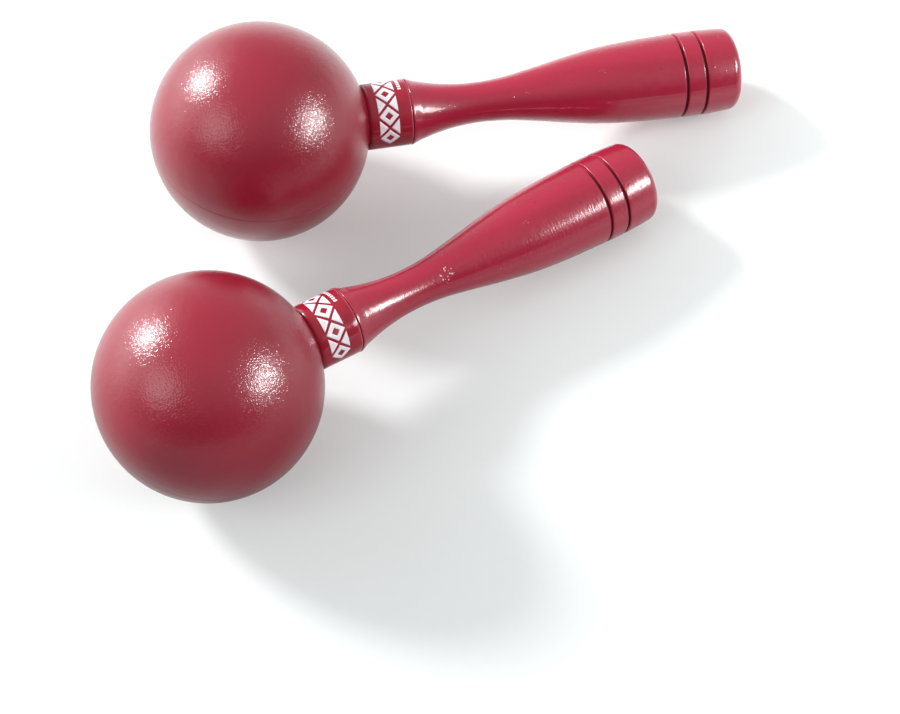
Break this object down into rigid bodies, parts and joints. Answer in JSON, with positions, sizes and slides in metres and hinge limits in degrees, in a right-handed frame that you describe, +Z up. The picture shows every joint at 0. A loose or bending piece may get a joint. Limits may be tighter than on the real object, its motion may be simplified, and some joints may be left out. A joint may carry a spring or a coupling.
{
  "type": "pair of maracas",
  "caption": "Pair of ball-headed maracas lying side by side: hollow two-part heads, turned lacquered handles, printed collar bands and loose pellets inside.",
  "frame": {"origin": "on the table under the middle of the pair's bounding box", "axes": "+Z up from the table; +X along the pair's longest side, from the heads towards the butts; +Y across, from maraca B towards maraca A"},
  "size_m": [0.242, 0.1868, 0.0799],
  "materials": {
    "head_plastic": "crimson moulded plastic with a fine spark-eroded grain",
    "lacquered_wood": "crimson gloss lacquer over turned wood, with small lumps and brush marks",
    "printed_film": "clear glossy film with a white printed pattern over dark red",
    "pellet_plastic": "ivory moulded beads"
  },
  "bodies": {
    "maraca_a": {"maraca_a_head_upper_half": "head_plastic", "maraca_a_head_lower_half": "head_plastic", "maraca_a_handle": "lacquered_wood", "maraca_a_collar_band": "printed_film"},
    "maraca_b": {"maraca_b_head_upper_half": "head_plastic", "maraca_b_head_lower_half": "head_plastic", "maraca_b_handle": "lacquered_wood", "maraca_b_collar_band": "printed_film"},
    "maraca_a_pellet_01": {"maraca_a_pellet_01": "pellet_plastic"},
    "maraca_a_pellet_02": {"maraca_a_pellet_02": "pellet_plastic"},
    "maraca_a_pellet_03": {"maraca_a_pellet_03": "pellet_plastic"},
    "maraca_a_pellet_04": {"maraca_a_pellet_04": "pellet_plastic"},
    "maraca_a_pellet_05": {"maraca_a_pellet_05": "pellet_plastic"},
    "maraca_a_pellet_06": {"maraca_a_pellet_06": "pellet_plastic"},
    "maraca_a_pellet_07": {"maraca_a_pellet_07": "pellet_plastic"},
    "maraca_a_pellet_08": {"maraca_a_pellet_08": "pellet_plastic"},
    "maraca_a_pellet_09": {"maraca_a_pellet_09": "pellet_plastic"},
    "maraca_a_pellet_10": {"maraca_a_pellet_10": "pellet_plastic"},
    "maraca_a_pellet_11": {"maraca_a_pellet_11": "pellet_plastic"},
    "maraca_a_pellet_12": {"maraca_a_pellet_12": "pellet_plastic"},
    "maraca_a_pellet_13": {"maraca_a_pellet_13": "pellet_plastic"},
    "maraca_a_pellet_14": {"maraca_a_pellet_14": "pellet_plastic"},
    "maraca_a_pellet_15": {"maraca_a_pellet_15": "pellet_plastic"},
    "maraca_a_pellet_16": {"maraca_a_pellet_16": "pellet_plastic"},
    "maraca_a_pellet_17": {"maraca_a_pellet_17": "pellet_plastic"},
    "maraca_a_pellet_18": {"maraca_a_pellet_18": "pellet_plastic"},
    "maraca_a_pellet_19": {"maraca_a_pellet_19": "pellet_plastic"},
    "maraca_a_pellet_20": {"maraca_a_pellet_20": "pellet_plastic"},
    "maraca_a_pellet_21": {"maraca_a_pellet_21": "pellet_plastic"},
    "maraca_a_pellet_22": {"maraca_a_pellet_22": "pellet_plastic"},
    "maraca_a_pellet_23": {"maraca_a_pellet_23": "pellet_plastic"},
    "maraca_a_pellet_24": {"maraca_a_pellet_24": "pellet_plastic"},
    "maraca_b_pellet_01": {"maraca_b_pellet_01": "pellet_plastic"},
    "maraca_b_pellet_02": {"maraca_b_pellet_02": "pellet_plastic"},
    "maraca_b_pellet_03": {"maraca_b_pellet_03": "pellet_plastic"},
    "maraca_b_pellet_04": {"maraca_b_pellet_04": "pellet_plastic"},
    "maraca_b_pellet_05": {"maraca_b_pellet_05": "pellet_plastic"},
    "maraca_b_pellet_06": {"maraca_b_pellet_06": "pellet_plastic"},
    "maraca_b_pellet_07": {"maraca_b_pellet_07": "pellet_plastic"},
    "maraca_b_pellet_08": {"maraca_b_pellet_08": "pellet_plastic"},
    "maraca_b_pellet_09": {"maraca_b_pellet_09": "pellet_plastic"},
    "maraca_b_pellet_10": {"maraca_b_pellet_10": "pellet_plastic"},
    "maraca_b_pellet_11": {"maraca_b_pellet_11": "pellet_plastic"},
    "maraca_b_pellet_12": {"maraca_b_pellet_12": "pellet_plastic"},
    "maraca_b_pellet_13": {"maraca_b_pellet_13": "pellet_plastic"},
    "maraca_b_pellet_14": {"maraca_b_pellet_14": "pellet_plastic"},
    "maraca_b_pellet_15": {"maraca_b_pellet_15": "pellet_plastic"},
    "maraca_b_pellet_16": {"maraca_b_pellet_16": "pellet_plastic"},
    "maraca_b_pellet_17": {"maraca_b_pellet_17": "pellet_plastic"},
    "maraca_b_pellet_18": {"maraca_b_pellet_18": "pellet_plastic"},
    "maraca_b_pellet_19": {"maraca_b_pellet_19": "pellet_plastic"},
    "maraca_b_pellet_20": {"maraca_b_pellet_20": "pellet_plastic"},
    "maraca_b_pellet_21": {"maraca_b_pellet_21": "pellet_plastic"},
    "maraca_b_pellet_22": {"maraca_b_pellet_22": "pellet_plastic"},
    "maraca_b_pellet_23": {"maraca_b_pellet_23": "pellet_plastic"},
    "maraca_b_pellet_24": {"maraca_b_pellet_24": "pellet_plastic"}
  },
  "joints": [
    {"name": "lift_maraca_b", "type": "slide", "parent": "maraca_a", "child": "maraca_b", "axis": [0, 0, 1], "range_m": [0, 0.15]},
    {"name": "pellet_a_01_bounce", "type": "slide", "parent": "maraca_a", "child": "maraca_a_pellet_01", "axis": [0, 0, 1], "range_m": [0, 0.0704]},
    {"name": "pellet_a_02_bounce", "type": "slide", "parent": "maraca_a", "child": "maraca_a_pellet_02", "axis": [0, 0, 1], "range_m": [0, 0.0702]},
    {"name": "pellet_a_03_bounce", "type": "slide", "parent": "maraca_a", "child": "maraca_a_pellet_03", "axis": [0, 0, 1], "range_m": [0, 0.0699]},
    {"name": "pellet_a_04_bounce", "type": "slide", "parent": "maraca_a", "child": "maraca_a_pellet_04", "axis": [0, 0, 1], "range_m": [0, 0.0696]},
    {"name": "pellet_a_05_bounce", "type": "slide", "parent": "maraca_a", "child": "maraca_a_pellet_05", "axis": [0, 0, 1], "range_m": [0, 0.0694]},
    {"name": "pellet_a_06_bounce", "type": "slide", "parent": "maraca_a", "child": "maraca_a_pellet_06", "axis": [0, 0, 1], "range_m": [0, 0.0691]},
    {"name": "pellet_a_07_bounce", "type": "slide", "parent": "maraca_a", "child": "maraca_a_pellet_07", "axis": [0, 0, 1], "range_m": [0, 0.0688]},
    {"name": "pellet_a_08_bounce", "type": "slide", "parent": "maraca_a", "child": "maraca_a_pellet_08", "axis": [0, 0, 1], "range_m": [0, 0.0685]},
    {"name": "pellet_a_09_bounce", "type": "slide", "parent": "maraca_a", "child": "maraca_a_pellet_09", "axis": [0, 0, 1], "range_m": [0, 0.0683]},
    {"name": "pellet_a_10_bounce", "type": "slide", "parent": "maraca_a", "child": "maraca_a_pellet_10", "axis": [0, 0, 1], "range_m": [0, 0.068]},
    {"name": "pellet_a_11_bounce", "type": "slide", "parent": "maraca_a", "child": "maraca_a_pellet_11", "axis": [0, 0, 1], "range_m": [0, 0.0677]},
    {"name": "pellet_a_12_bounce", "type": "slide", "parent": "maraca_a", "child": "maraca_a_pellet_12", "axis": [0, 0, 1], "range_m": [0, 0.0675]},
    {"name": "pellet_a_13_bounce", "type": "slide", "parent": "maraca_a", "child": "maraca_a_pellet_13", "axis": [0, 0, 1], "range_m": [0, 0.0672]},
    {"name": "pellet_a_14_bounce", "type": "slide", "parent": "maraca_a", "child": "maraca_a_pellet_14", "axis": [0, 0, 1], "range_m": [0, 0.0669]},
    {"name": "pellet_a_15_bounce", "type": "slide", "parent": "maraca_a", "child": "maraca_a_pellet_15", "axis": [0, 0, 1], "range_m": [0, 0.0666]},
    {"name": "pellet_a_16_bounce", "type": "slide", "parent": "maraca_a", "child": "maraca_a_pellet_16", "axis": [0, 0, 1], "range_m": [0, 0.0663]},
    {"name": "pellet_a_17_bounce", "type": "slide", "parent": "maraca_a", "child": "maraca_a_pellet_17", "axis": [0, 0, 1], "range_m": [0, 0.0661]},
    {"name": "pellet_a_18_bounce", "type": "slide", "parent": "maraca_a", "child": "maraca_a_pellet_18", "axis": [0, 0, 1], "range_m": [0, 0.0658]},
    {"name": "pellet_a_19_bounce", "type": "slide", "parent": "maraca_a", "child": "maraca_a_pellet_19", "axis": [0, 0, 1], "range_m": [0, 0.0655]},
    {"name": "pellet_a_20_bounce", "type": "slide", "parent": "maraca_a", "child": "maraca_a_pellet_20", "axis": [0, 0, 1], "range_m": [0, 0.0652]},
    {"name": "pellet_a_21_bounce", "type": "slide", "parent": "maraca_a", "child": "maraca_a_pellet_21", "axis": [0, 0, 1], "range_m": [0, 0.0649]},
    {"name": "pellet_a_22_bounce", "type": "slide", "parent": "maraca_a", "child": "maraca_a_pellet_22", "axis": [0, 0, 1], "range_m": [0, 0.0646]},
    {"name": "pellet_a_23_bounce", "type": "slide", "parent": "maraca_a", "child": "maraca_a_pellet_23", "axis": [0, 0, 1], "range_m": [0, 0.0643]},
    {"name": "pellet_a_24_bounce", "type": "slide", "parent": "maraca_a", "child": "maraca_a_pellet_24", "axis": [0, 0, 1], "range_m": [0, 0.0641]},
    {"name": "pellet_b_01_bounce", "type": "slide", "parent": "maraca_b", "child": "maraca_b_pellet_01", "axis": [0, 0, 1], "range_m": [0, 0.0704]},
    {"name": "pellet_b_02_bounce", "type": "slide", "parent": "maraca_b", "child": "maraca_b_pellet_02", "axis": [0, 0, 1], "range_m": [0, 0.0702]},
    {"name": "pellet_b_03_bounce", "type": "slide", "parent": "maraca_b", "child": "maraca_b_pellet_03", "axis": [0, 0, 1], "range_m": [0, 0.0699]},
    {"name": "pellet_b_04_bounce", "type": "slide", "parent": "maraca_b", "child": "maraca_b_pellet_04", "axis": [0, 0, 1], "range_m": [0, 0.0696]},
    {"name": "pellet_b_05_bounce", "type": "slide", "parent": "maraca_b", "child": "maraca_b_pellet_05", "axis": [0, 0, 1], "range_m": [0, 0.0694]},
    {"name": "pellet_b_06_bounce", "type": "slide", "parent": "maraca_b", "child": "maraca_b_pellet_06", "axis": [0, 0, 1], "range_m": [0, 0.0691]},
    {"name": "pellet_b_07_bounce", "type": "slide", "parent": "maraca_b", "child": "maraca_b_pellet_07", "axis": [0, 0, 1], "range_m": [0, 0.0688]},
    {"name": "pellet_b_08_bounce", "type": "slide", "parent": "maraca_b", "child": "maraca_b_pellet_08", "axis": [0, 0, 1], "range_m": [0, 0.0685]},
    {"name": "pellet_b_09_bounce", "type": "slide", "parent": "maraca_b", "child": "maraca_b_pellet_09", "axis": [0, 0, 1], "range_m": [0, 0.0683]},
    {"name": "pellet_b_10_bounce", "type": "slide", "parent": "maraca_b", "child": "maraca_b_pellet_10", "axis": [0, 0, 1], "range_m": [0, 0.068]},
    {"name": "pellet_b_11_bounce", "type": "slide", "parent": "maraca_b", "child": "maraca_b_pellet_11", "axis": [0, 0, 1], "range_m": [0, 0.0677]},
    {"name": "pellet_b_12_bounce", "type": "slide", "parent": "maraca_b", "child": "maraca_b_pellet_12", "axis": [0, 0, 1], "range_m": [0, 0.0675]},
    {"name": "pellet_b_13_bounce", "type": "slide", "parent": "maraca_b", "child": "maraca_b_pellet_13", "axis": [0, 0, 1], "range_m": [0, 0.0672]},
    {"name": "pellet_b_14_bounce", "type": "slide", "parent": "maraca_b", "child": "maraca_b_pellet_14", "axis": [0, 0, 1], "range_m": [0, 0.0669]},
    {"name": "pellet_b_15_bounce", "type": "slide", "parent": "maraca_b", "child": "maraca_b_pellet_15", "axis": [0, 0, 1], "range_m": [0, 0.0666]},
    {"name": "pellet_b_16_bounce", "type": "slide", "parent": "maraca_b", "child": "maraca_b_pellet_16", "axis": [0, 0, 1], "range_m": [0, 0.0663]},
    {"name": "pellet_b_17_bounce", "type": "slide", "parent": "maraca_b", "child": "maraca_b_pellet_17", "axis": [0, 0, 1], "range_m": [0, 0.0661]},
    {"name": "pellet_b_18_bounce", "type": "slide", "parent": "maraca_b", "child": "maraca_b_pellet_18", "axis": [0, 0, 1], "range_m": [0, 0.0658]},
    {"name": "pellet_b_19_bounce", "type": "slide", "parent": "maraca_b", "child": "maraca_b_pellet_19", "axis": [0, 0, 1], "range_m": [0, 0.0655]},
    {"name": "pellet_b_20_bounce", "type": "slide", "parent": "maraca_b", "child": "maraca_b_pellet_20", "axis": [0, 0, 1], "range_m": [0, 0.0652]},
    {"name": "pellet_b_21_bounce", "type": "slide", "parent": "maraca_b", "child": "maraca_b_pellet_21", "axis": [0, 0, 1], "range_m": [0, 0.0649]},
    {"name": "pellet_b_22_bounce", "type": "slide", "parent": "maraca_b", "child": "maraca_b_pellet_22", "axis": [0, 0, 1], "range_m": [0, 0.0646]},
    {"name": "pellet_b_23_bounce", "type": "slide", "parent": "maraca_b", "child": "maraca_b_pellet_23", "axis": [0, 0, 1], "range_m": [0, 0.0643]},
    {"name": "pellet_b_24_bounce", "type": "slide", "parent": "maraca_b", "child": "maraca_b_pellet_24", "axis": [0, 0, 1], "range_m": [0, 0.0641]}
  ]
}
